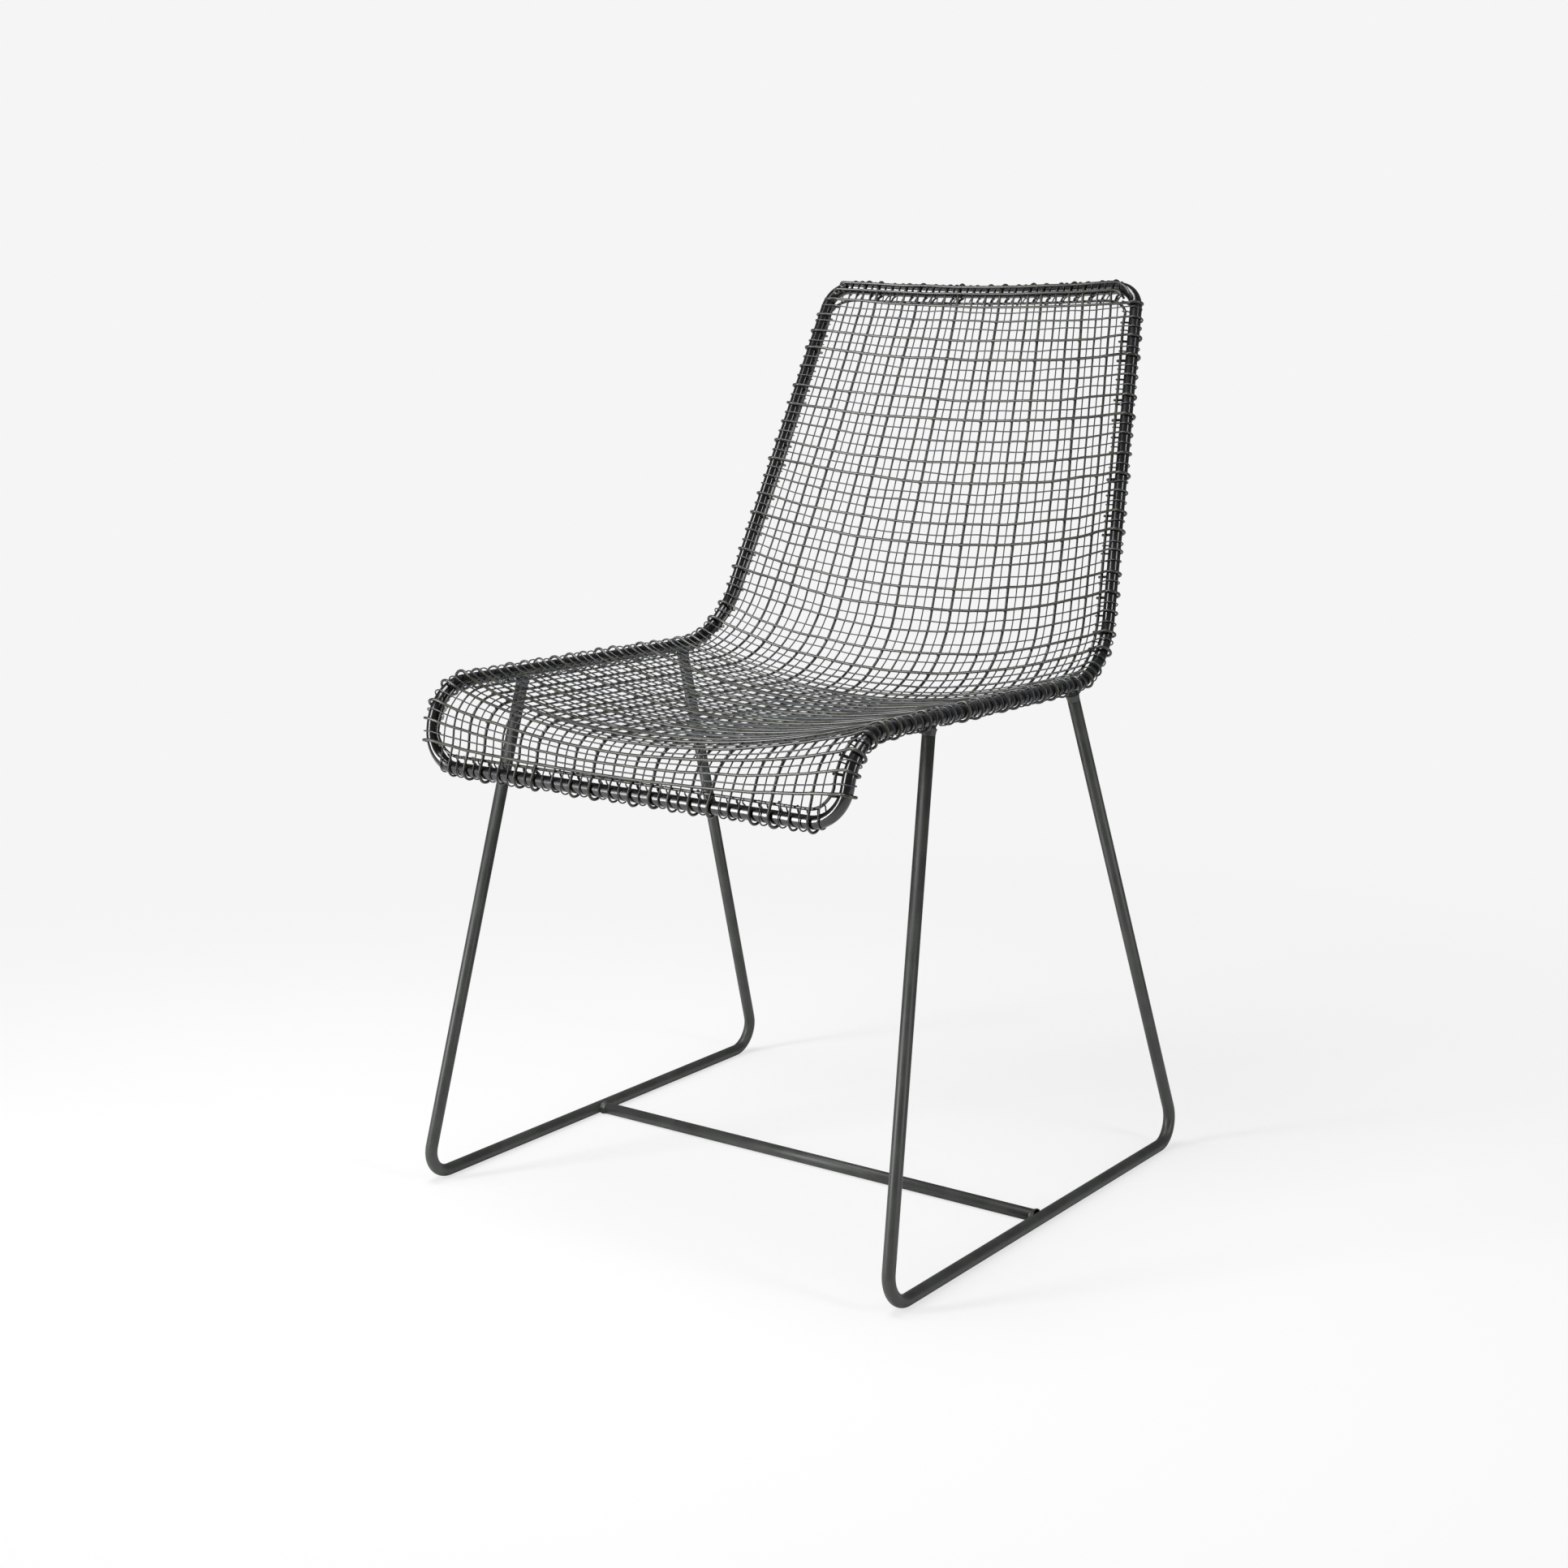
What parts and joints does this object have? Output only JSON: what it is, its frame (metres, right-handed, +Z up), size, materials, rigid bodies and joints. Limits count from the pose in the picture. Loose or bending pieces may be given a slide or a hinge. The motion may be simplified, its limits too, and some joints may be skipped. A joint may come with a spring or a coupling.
{
  "type": "wire mesh chair",
  "caption": "Side chair with a dished wire mesh seat and back in a bent rod rim, on two sled legs joined by a floor stretcher.",
  "frame": {"origin": "on the floor, under the middle of the chair's bounding box", "axes": "+Z up, +X to the sitter's left, the sitter looks along -Y"},
  "size_m": [0.5062, 0.5648, 0.7993],
  "materials": {
    "rim_black": "black gloss coat on steel rod",
    "frame_coat": "dark grey satin powder coat on steel rod",
    "wire": "dark gunmetal coat on steel wire",
    "thin_wire": "dark gunmetal coat on thin steel wire"
  },
  "bodies": {
    "root": {"fine_cross_wires_back": "thin_wire", "fine_cross_wires_seat": "thin_wire", "fine_long_wires": "thin_wire", "floor_stretcher": "frame_coat", "front_left_leg_weld": "frame_coat", "front_right_leg_weld": "frame_coat", "heavy_cross_wire_01": "wire", "heavy_cross_wire_02": "wire", "heavy_cross_wire_03": "wire", "heavy_cross_wire_04": "wire", "heavy_cross_wire_05": "wire", "heavy_cross_wire_06": "wire", "heavy_cross_wire_07": "wire", "heavy_cross_wire_08": "wire", "heavy_cross_wire_09": "wire", "heavy_cross_wire_10": "wire", "heavy_cross_wire_11": "wire", "heavy_cross_wire_12": "wire", "heavy_cross_wire_13": "wire", "heavy_cross_wire_14": "wire", "heavy_long_wire_1": "wire", "heavy_long_wire_2": "wire", "heavy_long_wire_3": "wire", "heavy_long_wire_4": "wire", "heavy_long_wire_5": "wire", "heavy_long_wire_6": "wire", "inner_edge_wire": "wire", "left_sled_leg": "frame_coat", "left_stretcher_weld": "frame_coat", "light_cross_wires_back": "thin_wire", "light_cross_wires_lip": "thin_wire", "light_cross_wires_seat": "thin_wire", "light_long_wires": "thin_wire", "medium_cross_wires_back": "wire", "medium_cross_wires_lip": "wire", "medium_cross_wires_seat": "wire", "medium_long_wires": "wire", "rear_left_leg_weld": "frame_coat", "rear_right_leg_weld": "frame_coat", "right_sled_leg": "frame_coat", "right_stretcher_weld": "frame_coat", "rim_rod": "rim_black", "top_rim_heavy_wire": "wire", "top_rim_medium_wire": "wire"}
  },
  "joints": []
}
